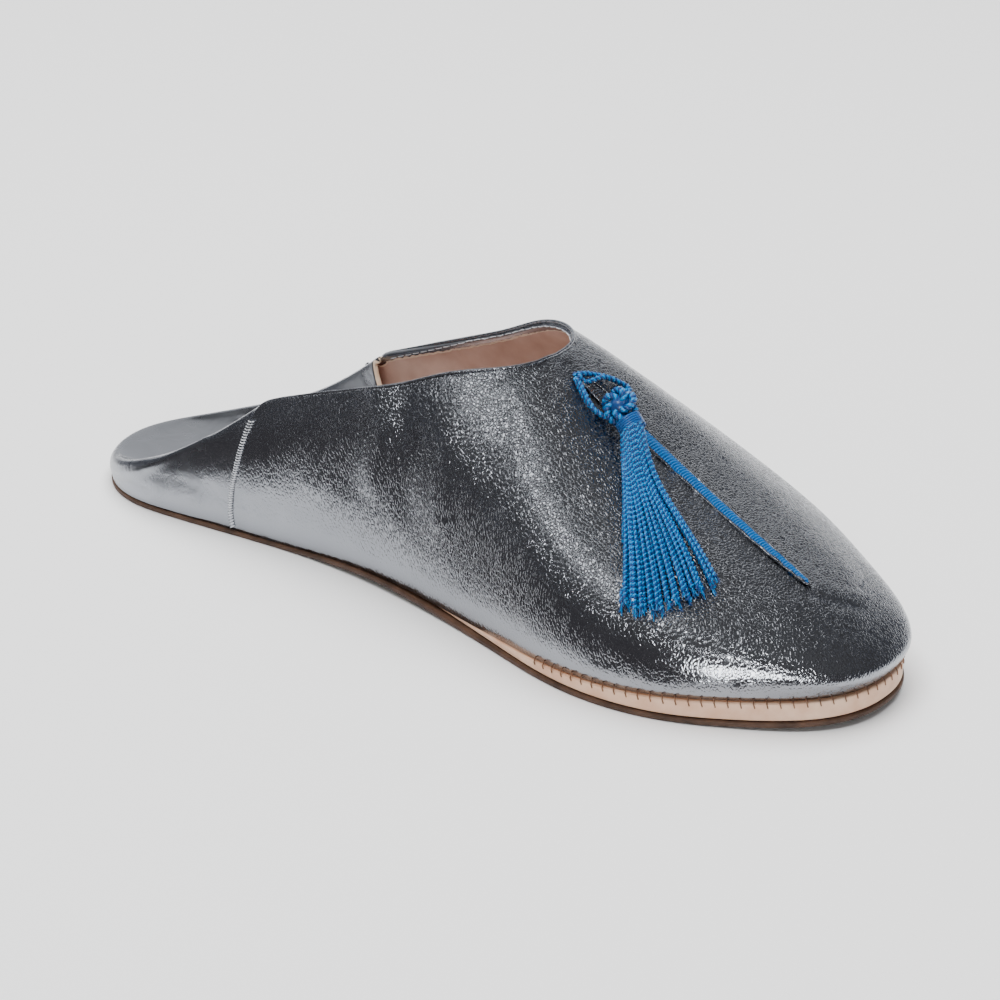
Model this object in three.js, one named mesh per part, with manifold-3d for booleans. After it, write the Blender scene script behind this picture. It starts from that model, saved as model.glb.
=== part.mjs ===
// A left babouche slipper: a soft leather mule with its heel folded down inside, a slit inlaid along the vamp
// and a cord tassel. Millimetres, +X towards the toe, +Z up; the medial side faces -Y, the lateral side +Y.
import * as THREE from "three";
import { mergeVertices } from "three/addons/utils/BufferGeometryUtils.js";
import Module from "manifold-3d";

const wasm = await Module();
wasm.setup();
const radians = THREE.MathUtils.degToRad;

// The last: the foot form that every piece is drawn over
const soleLength = 255;
const ballWidth = 89;
const instepHeight = 68.5;
const archRise = 1.6;
const toeSpring = 2;

// The upper's heights over the floor
const heelFoldHeight = 7.6; // top of the fold at the back of the heel
const quarterHeight = 43; // topline at the side seam, where the fold starts
const throatHeight = 59; // topline where it starts to turn in over the instep

// Thicknesses
const outsoleThickness = 1.5;
const randHeel = 1.2; // the pale sole leather is thin at the heel and stands up as a rand round the toe
const randToe = 5;
const insoleThickness = 1.6;
const wall = 1.8; // outer leather and lining together
const seamRise = 0.7;
const seamWidth = 2.6;
const clearance = 0.3; // between pieces that touch

// How far the leathers stand past the feather line, where upper and sole meet
const outsoleOverhang = 1.3;
const randOverhang = 0.9;
const upperBulge = 4.2;
const bulgeTop = 0.62; // the bulge dies out at this share of the way from the feather line to the spine

// The heel fold
const foldRadius = 2.3;
const flapBow = 9; // how far the flap's free edge runs forward on its way down
const foldSweep = 1.75; // the fold rises from heel to side by this power
const flapDrop = 1.5; // the flap hangs, then lies flat, by this power
const rollTurn = radians(160); // the roll turns so far, or until it lies on the insole

// The slit and its inlay
const slitWidth = 4.6;
const slitTipWidth = 2;
const inlayThickness = 1.2;
const inlayRise = 0.8;
const inlayEndGap = 0.9; // between each end of the inlay and the slit's

// The tassel
const skirtLength = 52;
const skirtSpread = 22; // width of the skirt at its cut ends
const strandDiameter = 2.4;
const strandCount = 17;
const coreDiameter = 5; // the middle of the skirt, from its top down to the thickness of a strand
const knotDiameter = 10.5;
const knotLobes = 8;
const lobeDepth = 0.6;
const neckDiameter = 8;
const neckHeight = 3;
const loopCord = 1.8;
const loopSpacing = 1.44; // between the middles of the loop's two cords

// at is a share of soleLength from the back of the heel. Widths are shares of ballWidth, heights of instepHeight.
// half: half the sole's width before its ends are rounded
// swing: how far the sole's centre line lies towards the lateral side
// spine: how far the upper's ridge does
// ridge: the ridge's height, as a closed shoe would have it
// round: the section's exponent
const sections = [
  { at: 0.0, half: 0.315, swing: -0.014, spine: -0.014, ridge: 0.32, round: 2.6 },
  { at: 0.19, half: 0.286, swing: -0.013, spine: -0.01, ridge: 0.71, round: 2.6 },
  { at: 0.345, half: 0.266, swing: -0.003, spine: -0.005, ridge: 0.985, round: 2.6 },
  { at: 0.49, half: 0.338, swing: 0.022, spine: 0.014, ridge: 1.13, round: 2.6 },
  { at: 0.615, half: 0.434, swing: 0.04, spine: 0.014, ridge: 0.955, round: 2.7 },
  { at: 0.73, half: 0.5, swing: 0.025, spine: 0.029, ridge: 0.695, round: 2.7 },
  { at: 0.825, half: 0.46, swing: 0.003, spine: -0.007, ridge: 0.545, round: 2.7 },
  { at: 0.91, half: 0.375, swing: -0.012, spine: -0.047, ridge: 0.43, round: 2.7 },
  { at: 1.0, half: 0.35, swing: -0.018, spine: -0.066, ridge: 0.29, round: 2.7 },
];

// Where things lie along the shoe, as shares of soleLength
const heelArc = 0.12; // the heel's round ends here, and its sections fan about this point
const heelRound = 2;
const toeArc = 0.822; // the toe's round starts here
const toeRound = 2.2;
const seamFoot = 0.236; // the side seam at the sole
const seamHeadMedial = 0.275; // and at the topline, where the fold ends
const seamHeadLateral = 0.29;
const throatStart = 0.46; // the topline starts to turn in
const throatEnd = 0.595;
const throatRound = 2.6;
const throatFootStart = 0.42; // where the throat's first and last sections spring from the feather line
const throatFootEnd = 0.58;
const slitStart = 0.625;
const slitEnd = 0.918; // the toe's sections fan about this point
const flapReach = 0.355; // the flap's free edge on the centre line
const loopPlace = { at: 0.628, lift: radians(88) }; // the loop leaves the slit's top here
const knotPlace = { at: 0.672, lift: radians(87) };
const skirtPlace = { at: 0.701, lift: radians(84.5) }; // the skirt hangs from here, and heads for the next
const skirtHeading = { at: 0.835, lift: radians(41.5) };
const heelSeat = 0.28; // the sole lies flat up to here
const ballStart = 0.615; // and from here
const ballEnd = 0.81; // to here
const randRiseStart = 0.52;
const randRiseEnd = 1;

// How finely the leather is drawn
const wallRows = 10;
const rollSteps = 4;
const flapRows = 7;
const slitSteps = 12;
const strandSteps = 8;
const loopSteps = 4;
const weld = 0.01;
const cordWeld = 0.001;
const slopeStep = 0.002; // slopes on the last are measured over this share, or this turn
const knotSegments = 24;
const slitRound = 4; // how squarely the slit's ends are rounded
const edgeEase = 0.3;

const medial = -1;
const lateral = 1;
const quarterTurn = Math.PI / 2;

const lerp = THREE.MathUtils.lerp;
const clamp = THREE.MathUtils.clamp;
const smoothstep = THREE.MathUtils.smoothstep;

// A natural cubic through one column of a table
function curveThrough(table, column) {
  const x = table.map((row) => row.at);
  const y = table.map((row) => row[column]);
  const last = x.length - 1;
  const bend = new Array(last + 1).fill(0);
  const carried = new Array(last + 1).fill(0);
  for (let i = 1; i < last; i++) {
    const share = (x[i] - x[i - 1]) / (x[i + 1] - x[i - 1]);
    const pivot = share * bend[i - 1] + 2;
    const turn = (y[i + 1] - y[i]) / (x[i + 1] - x[i]) - (y[i] - y[i - 1]) / (x[i] - x[i - 1]);
    bend[i] = (share - 1) / pivot;
    carried[i] = ((6 * turn) / (x[i + 1] - x[i - 1]) - share * carried[i - 1]) / pivot;
  }
  bend[last] = 0;
  for (let i = last - 1; i >= 0; i--) bend[i] = bend[i] * bend[i + 1] + carried[i];
  return (at) => {
    let i = 0;
    while (i < last - 1 && at > x[i + 1]) i++;
    const h = x[i + 1] - x[i];
    const a = (x[i + 1] - at) / h;
    const b = (at - x[i]) / h;
    const cubic = (a ** 3 - a) * bend[i] + (b ** 3 - b) * bend[i + 1];
    return a * y[i] + b * y[i + 1] + (cubic * h * h) / 6;
  };
}

const halfShare = curveThrough(sections, "half");
const swingShare = curveThrough(sections, "swing");
const spineShare = curveThrough(sections, "spine");
const ridgeShare = curveThrough(sections, "ridge");
const roundAt = curveThrough(sections, "round");

// The feather line, where the upper meets the sole, in plan
function feather(side, at) {
  const intoHeel = clamp(1 - at / heelArc, 0, 1);
  const intoToe = clamp((at - toeArc) / (1 - toeArc), 0, 1);
  const heelEnd = (1 - intoHeel ** heelRound) ** (1 / heelRound);
  const toeEnd = (1 - intoToe ** toeRound) ** (1 / toeRound);
  const half = ballWidth * halfShare(at) * heelEnd * toeEnd;
  return new THREE.Vector2(at * soleLength, ballWidth * swingShare(at) + side * half);
}

// The point of the spine that a section runs to, in plan
function spine(at) {
  const on = clamp(at, heelArc, slitEnd);
  return new THREE.Vector2(on * soleLength, ballWidth * spineShare(on));
}

// The underside of the sole: flat at heel and ball, with an arch between and a little toe spring
function soleUnderside(at) {
  const intoArch = clamp((at - heelSeat) / (ballStart - heelSeat), 0, 1);
  const intoSpring = clamp((at - ballEnd) / (1 - ballEnd), 0, 1);
  return archRise * Math.sin(Math.PI * intoArch) ** 2 + toeSpring * intoSpring ** 2;
}

const outsoleTop = (at) => soleUnderside(at) + outsoleThickness;
const randThickness = (at) => lerp(randHeel, randToe, smoothstep(at, randRiseStart, randRiseEnd));
const randUnderside = (at) => outsoleTop(at) + clearance;
const randTop = (at) => randUnderside(at) + randThickness(at);
const featherHeight = (at) => randTop(at) + clearance;
const insoleTop = (at) => featherHeight(at) + insoleThickness;
const ridgeHeight = (at) => instepHeight * ridgeShare(clamp(at, 0, 1));

// A point of the upper's outer surface. lift is 0 at the feather line and a quarter turn on the spine.
function onLast(side, at, lift) {
  const foot = feather(side, at);
  const centre = spine(at);
  const power = 2 / roundAt(at);
  const inward = Math.max(foot.distanceTo(centre), clearance);
  const bulge = upperBulge * Math.sin(Math.PI * Math.min(1, lift / (bulgeTop * quarterTurn)));
  const reach = Math.max(0, Math.cos(lift)) ** power + bulge / inward;
  const x = lerp(centre.x, foot.x, reach);
  const y = lerp(centre.y, foot.y, reach);
  const low = featherHeight(at);
  const z = lerp(low, ridgeHeight(x / soleLength), Math.sin(lift) ** power);
  return new THREE.Vector3(x, y, z);
}

// The lift at which a section reaches a height, and the lift at which it comes within a distance of the spine
function liftAtHeight(at, height) {
  const share = (height - featherHeight(at)) / (ridgeHeight(at) - featherHeight(at));
  return Math.asin(clamp(share, 0, 1) ** (roundAt(at) / 2));
}
function liftAtReach(side, at, distance) {
  const inward = feather(side, at).distanceTo(spine(at));
  return Math.acos(clamp(distance / inward, 0, 1) ** (roundAt(at) / 2));
}

function normalOnLast(side, at, lift) {
  const high = Math.min(lift, quarterTurn - 2 * slopeStep);
  const along = onLast(side, at + slopeStep, high).sub(onLast(side, at - slopeStep, high));
  const across = onLast(side, at, high + slopeStep).sub(onLast(side, at, high));
  return along.cross(across).multiplyScalar(-side).normalize();
}

// Shares from one value to another, without the first and with the last
const steps = (from, to, count) => Array.from({ length: count }, (_, i) => lerp(from, to, (i + 1) / count));

// A sheet of leather before it has its thickness: triangles, and how far each corner is raised
class Skin {
  constructor() {
    this.corners = [];
    this.rises = [];
  }

  triangle(...triangle) {
    const [a, b, c] = triangle;
    const shortest = Math.min(a.distanceTo(b), b.distanceTo(c), c.distanceTo(a));
    if (shortest < weld) return;
    for (const corner of triangle) {
      this.corners.push(corner.x, corner.y, corner.z);
      this.rises.push(corner.rise ?? 0);
    }
  }

  // Rows of points, each as long as the next. side turns the faces over between medial and lateral.
  grid(rows, side = medial) {
    for (let i = 0; i + 1 < rows.length; i++) {
      for (let j = 0; j + 1 < rows[i].length; j++) {
        const here = [rows[i][j], rows[i][j + 1]];
        const next = [rows[i + 1][j], rows[i + 1][j + 1]];
        if (side === medial) {
          this.triangle(here[0], next[0], next[1]);
          this.triangle(here[0], next[1], here[1]);
        } else {
          this.triangle(here[0], next[1], next[0]);
          this.triangle(here[0], here[1], next[1]);
        }
      }
    }
  }

  merged() {
    const sheet = new THREE.BufferGeometry();
    sheet.setAttribute("position", new THREE.Float32BufferAttribute(this.corners, 3));
    sheet.setAttribute("rise", new THREE.Float32BufferAttribute(this.rises, 1));
    return mergeVertices(sheet, weld);
  }

  // A closed solid with this skin outside: its inside lies a thickness below, and a rim joins the two
  thickened(thickness) {
    const sheet = this.merged();
    sheet.computeVertexNormals();
    const { position, normal, rise } = sheet.attributes;
    const faces = Array.from(sheet.index.array);
    const points = [];
    for (const inside of [false, true]) {
      for (let i = 0; i < position.count; i++) {
        const out = new THREE.Vector3().fromBufferAttribute(normal, i);
        const point = new THREE.Vector3().fromBufferAttribute(position, i);
        point.addScaledVector(out, inside ? -thickness : rise.getX(i));
        points.push(point.x, point.y, point.z);
      }
    }
    const edgesOf = (f) => [0, 1, 2].map((k) => [faces[f + k], faces[f + ((k + 1) % 3)]]);
    const edges = new Set();
    for (let f = 0; f < faces.length; f += 3) edgesOf(f).forEach(([from, to]) => edges.add(`${from},${to}`));
    const index = [...faces];
    const below = position.count;
    for (let f = 0; f < faces.length; f += 3) {
      index.push(faces[f] + below, faces[f + 2] + below, faces[f + 1] + below);
      for (const [from, to] of edgesOf(f)) {
        if (edges.has(`${to},${from}`)) continue;
        index.push(from, from + below, to + below);
        index.push(from, to + below, to);
      }
    }
    const solid = new THREE.BufferGeometry();
    solid.setAttribute("position", new THREE.Float32BufferAttribute(points, 3));
    solid.setIndex(index);
    return solid;
  }
}

// Stations along one side of the feather line, closer together where its ends turn. The upper's columns
// and the sole's edges both stand on them.
const heelTurns = steps(quarterTurn, 0, 6);
const heelStations = [0, ...heelTurns.map((turn) => heelArc * (1 - Math.sin(turn) ** (2 / heelRound)))];
const toeTurnStart = Math.asin(((slitEnd - toeArc) / (1 - toeArc)) ** (toeRound / 2));
const toeStations = steps(toeTurnStart, quarterTurn, 8).map(
  (turn) => toeArc + (1 - toeArc) * Math.sin(turn) ** (2 / toeRound),
);
const seamHalf = seamWidth / 2 / soleLength;
const quarterStations = [...steps(heelArc, seamFoot - seamHalf, 5), seamFoot];
const frontStations = [seamFoot + seamHalf, ...steps(seamFoot + seamHalf, throatFootStart, 5)];
const throatStations = steps(throatFootStart, throatFootEnd, 7);
const vampStations = steps(throatFootEnd, slitStart, 2);
const slitShares = steps(0, Math.PI, slitSteps).map((turn) => (1 - Math.cos(turn)) / 2);
const slitStations = slitShares.map((share) => lerp(slitStart, slitEnd, share));
const stations = [
  ...heelStations,
  ...quarterStations,
  ...frontStations,
  ...throatStations,
  ...vampStations,
  ...slitStations,
  ...toeStations,
];

const shareOf = (value, from, to) => (value - from) / (to - from);

function slitHalf(at) {
  const share = clamp(shareOf(at, slitStart, slitEnd), 0, 1);
  const rounded = (1 - Math.abs(2 * share - 1) ** slitRound) ** (1 / slitRound);
  return (lerp(slitWidth, slitTipWidth, share) / 2) * rounded;
}

// A column of the upper runs from its foot on the feather line to its head on the fold, the topline, the
// slit or the spine. Both are shares of soleLength, and lift is the column's lift at its head.
function upperColumn(side, foot) {
  const seamHead = side === medial ? seamHeadMedial : seamHeadLateral;
  if (foot <= seamFoot) {
    const intoSide = Math.max(0, shareOf(foot, heelArc, seamFoot));
    const head = foot <= heelArc ? foot : lerp(heelArc, seamHead, intoSide);
    const fold = heelFoldHeight + (quarterHeight - heelFoldHeight) * (head / seamHead) ** foldSweep;
    return { head, lift: liftAtHeight(head, fold - foldRadius), intoSide };
  }
  if (foot <= throatFootStart) {
    const share = shareOf(foot, seamFoot, throatFootStart);
    const head = lerp(seamHead, throatStart, share);
    return { head, lift: liftAtHeight(head, lerp(quarterHeight, throatHeight, share)) };
  }
  if (foot <= throatFootEnd) {
    const turn = shareOf(foot, throatFootStart, throatFootEnd) * quarterTurn;
    const head = lerp(throatStart, throatEnd, Math.sin(turn) ** (2 / throatRound));
    const widest = feather(side, throatStart).distanceTo(spine(throatStart));
    const reach = widest * Math.cos(liftAtHeight(throatStart, throatHeight)) ** (2 / roundAt(throatStart));
    const distance = reach * Math.max(0, Math.cos(turn)) ** (2 / throatRound);
    return { head, lift: liftAtReach(side, head, distance) };
  }
  if (foot <= slitStart) {
    const head = lerp(throatEnd, slitStart, shareOf(foot, throatFootEnd, slitStart));
    return { head, lift: quarterTurn };
  }
  return { head: foot, lift: liftAtReach(side, foot, slitHalf(foot)) };
}

// The height of the flap's outer surface where it lies on the insole
const flapFloor = (x) => insoleTop(x / soleLength) + clearance + wall;

// The fold's roll over the wall's top, and the flap that hangs from it and lies on the insole
function foldedHeel(wallTop, wallBelow, { head, intoSide }) {
  const along = wallTop.clone().sub(wallBelow).normalize();
  const centreline = spine(head);
  const inward = new THREE.Vector3(centreline.x - wallTop.x, centreline.y - wallTop.y, 0).normalize();
  inward.addScaledVector(along, -inward.dot(along)).normalize();
  const restingTurn = Math.PI - Math.asin(clamp((flapFloor(wallTop.x) - wallTop.z) / foldRadius, 0, 1));
  const roll = steps(0, Math.min(rollTurn, restingTurn), rollSteps).map((turn) =>
    wallTop
      .clone()
      .addScaledVector(inward, foldRadius * (1 - Math.cos(turn)))
      .addScaledVector(along, foldRadius * Math.sin(turn)),
  );
  const start = roll[rollSteps - 1];
  const endAt = lerp(heelArc, flapReach, intoSide);
  const end = spine(endAt);
  const bow = flapBow * intoSide ** 2;
  const flap = steps(0, 1, flapRows).map((share) => {
    const x = lerp(start.x, end.x, share) + bow * 4 * share * (1 - share);
    const y = lerp(start.y, end.y, share);
    const hang = 1 - (1 - (1 - share) ** flapDrop) ** (1 / flapDrop);
    return new THREE.Vector3(x, y, lerp(flapFloor(x), start.z, hang));
  });
  return [wallTop, ...roll, ...flap];
}

function upperGeometry() {
  const skin = new Skin();
  for (const side of [medial, lateral]) {
    const walls = [];
    const folds = [];
    for (const foot of stations) {
      const column = upperColumn(side, foot);
      const points = [0, ...steps(0, 1, wallRows)].map((share) =>
        onLast(side, lerp(foot, column.head, share), column.lift * share),
      );
      if (foot === seamFoot) points.forEach((point) => (point.rise = seamRise));
      walls.push(points);
      if (foot <= seamFoot) folds.push(foldedHeel(points[wallRows], points[wallRows - 1], column));
    }
    skin.grid(walls, side);
    skin.grid(folds, side);
  }
  return skin.thickened(wall);
}

// The inlay fills the slit, crowned along its middle
function inlayGeometry() {
  const skin = new Skin();
  const inset = inlayEndGap / soleLength;
  for (const side of [medial, lateral]) {
    const rows = [0, ...slitShares].map((along) => {
      const at = lerp(slitStart + inset, slitEnd - inset, along);
      const half = Math.max(0, slitHalf(lerp(slitStart, slitEnd, along)) - clearance);
      return [1, 0.5, 0].map((share) => {
        const point = onLast(side, at, liftAtReach(side, at, half * share));
        point.rise = half > 0 ? inlayRise * (1 - share ** 2) : 0;
        return point;
      });
    });
    skin.grid(rows, side);
  }
  return skin.thickened(inlayThickness);
}

// A loop round the sole, grown past the feather line, at heights that follow its length
function soleLoop(grow, height) {
  const flat = [
    ...stations.map((at) => ({ at, point: feather(medial, at) })),
    ...stations.slice(1, -1).reverse().map((at) => ({ at, point: feather(lateral, at) })),
  ];
  return flat.map(({ at, point }, i) => {
    const before = flat[(i + flat.length - 1) % flat.length].point;
    const after = flat[(i + 1) % flat.length].point;
    const along = after.clone().sub(before).normalize();
    return new THREE.Vector3(point.x + along.y * grow, point.y - along.x * grow, height(at));
  });
}

// A layer of the sole: a wall through its levels, closed below and above
function soleLayer(levels) {
  const skin = new Skin();
  const loops = levels.map(({ grow, height }) => soleLoop(grow, height));
  skin.grid(loops.map((loop) => [...loop, loop[0]]), lateral);
  const last = stations.length - 1;
  for (const [loop, side] of [[loops[0], lateral], [loops[loops.length - 1], medial]]) {
    const medialEdge = stations.map((_, i) => loop[i]);
    const lateralEdge = stations.map((_, i) => loop[i === 0 || i === last ? i : loop.length - i]);
    skin.grid([medialEdge, lateralEdge], side === medial ? lateral : medial);
  }
  return skin.merged();
}

function easedLayer(grow, bottom, top, ease) {
  return soleLayer([
    { grow: grow - ease, height: bottom },
    { grow, height: (at) => bottom(at) + ease },
    { grow, height: (at) => top(at) - ease },
    { grow: grow - ease, height: top },
  ]);
}

// A place on the vamp's medial side, stood off from the leather, and the way out from it
function onVamp({ at, lift }, standOff) {
  const out = normalOnLast(medial, at, lift);
  return { point: onLast(medial, at, lift).addScaledVector(out, standOff), out };
}

const between = (from, to, share) => ({ at: lerp(from.at, to.at, share), lift: lerp(from.lift, to.lift, share) });

// The place a distance beside another, to the toe's side of a line that heads from one place to the next
function beside(place, from, to, distance) {
  const here = onVamp(place, 0);
  const slopeTo = (near) => onVamp(near, 0).point.sub(here.point).divideScalar(slopeStep);
  const perAt = slopeTo({ at: place.at + slopeStep, lift: place.lift });
  const perLift = slopeTo({ at: place.at, lift: place.lift + slopeStep });
  const heading = onVamp(to, 0).point.sub(onVamp(from, 0).point);
  const aside = here.out.clone().cross(heading).setLength(distance);
  const [aa, al, ll] = [perAt.dot(perAt), perAt.dot(perLift), perLift.dot(perLift)];
  const [a, l] = [aside.dot(perAt), aside.dot(perLift)];
  const scale = aa * ll - al * al;
  return { at: place.at + (a * ll - l * al) / scale, lift: place.lift + (l * aa - a * al) / scale };
}

// A round cord through centres, each with its radius and the way out from the leather. Its first end lies
// square to square, where that is given.
function cord(route, sides, square) {
  const rings = route.map(({ point, out, radius }, i) => {
    const before = route[Math.max(i - 1, 0)].point;
    const after = route[Math.min(i + 1, route.length - 1)].point;
    const along = i === 0 && square ? square : after.clone().sub(before).normalize();
    const across = out.clone().cross(along).normalize();
    const raised = along.clone().cross(across);
    return Array.from({ length: sides }, (_, k) => {
      const turn = (2 * Math.PI * k) / sides;
      return point
        .clone()
        .addScaledVector(across, radius * Math.cos(turn))
        .addScaledVector(raised, radius * Math.sin(turn));
    });
  });
  const skin = new Skin();
  skin.grid(rings.map((ring) => [...ring, ring[0]]), lateral);
  const closeEnd = (ring, side) => {
    const oneHalf = ring.slice(0, sides / 2 + 1);
    const otherHalf = [ring[0], ...ring.slice(sides / 2).reverse()];
    skin.grid([oneHalf, otherHalf], side);
  };
  closeEnd(rings[0], medial);
  closeEnd(rings[rings.length - 1], lateral);
  return skin.merged();
}

function solidFrom(geometry) {
  const bare = geometry.clone();
  bare.deleteAttribute("normal");
  bare.deleteAttribute("uv");
  bare.deleteAttribute("rise");
  const welded = mergeVertices(bare, cordWeld);
  const mesh = new wasm.Mesh({
    numProp: 3,
    vertProperties: new Float32Array(welded.attributes.position.array),
    triVerts: new Uint32Array(welded.index.array),
  });
  return new wasm.Manifold(mesh);
}

// Shapes joined into one, with the pockets that they close between them filled
function fused(geometries) {
  const whole = geometries.map(solidFrom).reduce((sum, next) => sum.add(next));
  const outside = whole.decompose().reduce((best, next) => (next.volume() > best.volume() ? next : best));
  const { vertProperties, triVerts } = outside.getMesh();
  const geometry = new THREE.BufferGeometry();
  geometry.setAttribute("position", new THREE.BufferAttribute(vertProperties, 3));
  geometry.setIndex(new THREE.BufferAttribute(triVerts, 1));
  return geometry;
}

const knot = onVamp(knotPlace, knotDiameter / 2 + clearance);
const skirtTop = onVamp(skirtPlace, coreDiameter / 2 + strandDiameter);
const knotAxis = skirtTop.point.clone().sub(knot.point).normalize();
const neckEnd = knotDiameter / 2 - clearance + neckHeight; // from the knot's middle

// The skirt: strands that leave the neck round a core and fan out over the vamp in two layers
function skirtGeometry() {
  const start = knot.point.clone().addScaledVector(knotAxis, neckEnd + clearance);
  const strand = (across, layer, thick, thin) => {
    const end = beside(skirtHeading, skirtPlace, skirtHeading, (across * skirtSpread) / 2);
    const route = (share) => {
      const place = between(skirtPlace, end, share);
      const gathered = (1 - share) ** 2;
      const onLeather = strandDiameter / 2 + clearance + ((layer + 1) / 2) * (strandDiameter / 2);
      const { point, out } = onVamp(place, lerp(onLeather, coreDiameter / 2 + strandDiameter, gathered));
      const aside = out.clone().cross(knotAxis).normalize();
      const ring = (coreDiameter / 2) * gathered;
      point.addScaledVector(aside, across * ring);
      point.addScaledVector(knotAxis.clone().cross(aside), layer * ring * Math.sqrt(1 - across ** 2));
      point.addScaledVector(start.clone().sub(skirtTop.point), gathered);
      return { point, out, radius: lerp(thin, thick, gathered) / 2 };
    };
    const span = steps(0, 1, strandSteps).map((share) => route(share).point);
    const length = span.reduce((sum, point, i) => sum + point.distanceTo(i ? span[i - 1] : route(0).point), 0);
    const cutAt = skirtLength / length;
    return cord([0, ...steps(0, cutAt, strandSteps)].map(route), 6, knotAxis);
  };
  const core = strand(0, 0, coreDiameter, strandDiameter);
  const strands = [-1, ...steps(-1, 1, strandCount - 1)].map((across, i) =>
    strand(across, i % 2 ? 1 : -1, strandDiameter, strandDiameter),
  );
  return fused([core, ...strands]);
}

// The knot: a lobed ball with the binding round its neck
function knotGeometry() {
  const ball = new THREE.SphereGeometry(knotDiameter / 2, knotSegments, knotLobes);
  const { position } = ball.attributes;
  for (let i = 0; i < position.count; i++) {
    const point = new THREE.Vector3().fromBufferAttribute(position, i);
    const round = Math.hypot(point.x, point.z) / (knotDiameter / 2);
    const turn = Math.atan2(point.z, point.x) + point.y / knotDiameter;
    const inward = lobeDepth * round * (0.5 - 0.5 * Math.cos(knotLobes * turn));
    point.setLength(knotDiameter / 2 - inward);
    position.setXYZ(i, point.x, point.y, point.z);
  }
  const neck = new THREE.CylinderGeometry(neckDiameter / 2, neckDiameter / 2, neckEnd, 16);
  neck.translate(0, neckEnd / 2, 0);
  const turned = new THREE.Quaternion().setFromUnitVectors(new THREE.Vector3(0, 1, 0), knotAxis);
  for (const shape of [ball, neck]) {
    shape.applyQuaternion(turned);
    shape.translate(knot.point.x, knot.point.y, knot.point.z);
  }
  return fused([ball, neck]);
}

// The loop: a doubled cord from the slit's top to the knot
function loopGeometry() {
  const standOff = loopCord / 2 + clearance;
  const start = onVamp(loopPlace, standOff);
  const reach = knotDiameter / 2 + clearance;
  const towards = start.point.clone().sub(knot.point);
  const end = knot.point.clone().addScaledVector(towards.clone().normalize(), reach);
  const cords = [-1, 1].map((hand) => {
    const route = [0, ...steps(0, 1, loopSteps)].map((share) => {
      const sag = onVamp(between(loopPlace, knotPlace, share), standOff);
      const point = start.point.clone().lerp(end, share);
      point.z = Math.max(point.z, sag.point.z);
      const aside = sag.out.clone().cross(towards).normalize();
      point.addScaledVector(aside, (hand * loopSpacing) / 2);
      return { point, out: sag.out, radius: loopCord / 2 };
    });
    return cord(route, 8);
  });
  return fused(cords);
}

function leather(color, roughness, metalness = 0) {
  return new THREE.MeshStandardMaterial({ color, roughness, metalness });
}

function piece(name, geometry, material) {
  const mesh = new THREE.Mesh(geometry, material);
  mesh.name = name;
  return mesh;
}

const darkSole = leather(0x3a261b, 0.7);
const paleSole = leather(0xc79a6b, 0.65);
const liningTan = leather(0xb88a68, 0.8);
const silverFoil = leather(0xb9bcc4, 0.35, 0.8);
const blueCord = leather(0x1f45c8, 0.6);

const slipper = new THREE.Group();
slipper.add(
  piece("outsole", easedLayer(outsoleOverhang, soleUnderside, outsoleTop, edgeEase), darkSole),
  piece("rand", easedLayer(randOverhang, randUnderside, randTop, edgeEase), paleSole),
  piece("insole", easedLayer(-(wall + 2 * clearance), featherHeight, insoleTop, edgeEase), liningTan),
  piece("upper", upperGeometry(), silverFoil),
  piece("slit_inlay", inlayGeometry(), blueCord),
  piece("tassel_loop", loopGeometry(), blueCord),
  piece("tassel_knot", knotGeometry(), blueCord),
  piece("tassel_skirt", skirtGeometry(), blueCord),
);

// The origin lies on the floor, under the middle of the whole
const whole = new THREE.Box3().setFromObject(slipper);
const middle = whole.getCenter(new THREE.Vector3());
slipper.position.set(-middle.x, -middle.y, -whole.min.z);

export default slipper;
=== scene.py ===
# Left babouche: silver foil leather, heel folded down inside, blue inlaid slit and blue cord tassel.
# Metres throughout; sizes in the dictionaries are in millimetres and pass through mm.
import math
import random

import bmesh
import bpy
import numpy as np
from mathutils import Matrix, Vector
from mathutils.bvhtree import BVHTree


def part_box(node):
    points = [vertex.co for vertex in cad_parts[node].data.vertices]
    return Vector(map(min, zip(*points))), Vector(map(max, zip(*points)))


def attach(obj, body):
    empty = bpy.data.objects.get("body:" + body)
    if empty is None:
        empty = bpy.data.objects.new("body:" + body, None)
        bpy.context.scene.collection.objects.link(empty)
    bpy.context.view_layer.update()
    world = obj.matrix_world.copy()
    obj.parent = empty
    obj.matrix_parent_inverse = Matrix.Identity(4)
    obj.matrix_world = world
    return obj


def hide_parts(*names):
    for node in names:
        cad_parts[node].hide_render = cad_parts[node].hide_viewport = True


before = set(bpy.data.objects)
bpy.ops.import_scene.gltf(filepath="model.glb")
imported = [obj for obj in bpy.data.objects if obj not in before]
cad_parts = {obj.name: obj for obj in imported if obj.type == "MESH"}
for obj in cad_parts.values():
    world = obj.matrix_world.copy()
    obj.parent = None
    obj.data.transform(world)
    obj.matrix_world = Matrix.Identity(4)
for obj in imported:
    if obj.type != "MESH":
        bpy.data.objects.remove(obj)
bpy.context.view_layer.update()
scene = bpy.context.scene
mm = 0.001

# The camera, at the photo's viewing angle
view = {
    "azimuth": 36.993,
    "elevation": 25.184,
    "roll": 0.215,
    "distance": 743.06,
    "fieldOfView": 20.481,
    "target": (7.579, -4.387, 23.504),
    "pictureSide": 1000,
}


def cameraAxes():
    azimuth, elevation, roll = (math.radians(view[name]) for name in ("azimuth", "elevation", "roll"))
    level = math.cos(elevation)
    back = Vector((math.sin(azimuth) * level, -math.cos(azimuth) * level, math.sin(elevation)))
    right = Vector((math.cos(azimuth), math.sin(azimuth), 0))
    up = back.cross(right)
    rolledRight = right * math.cos(roll) + up * math.sin(roll)
    rolledUp = up * math.cos(roll) - right * math.sin(roll)
    return rolledRight, rolledUp, back


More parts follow.
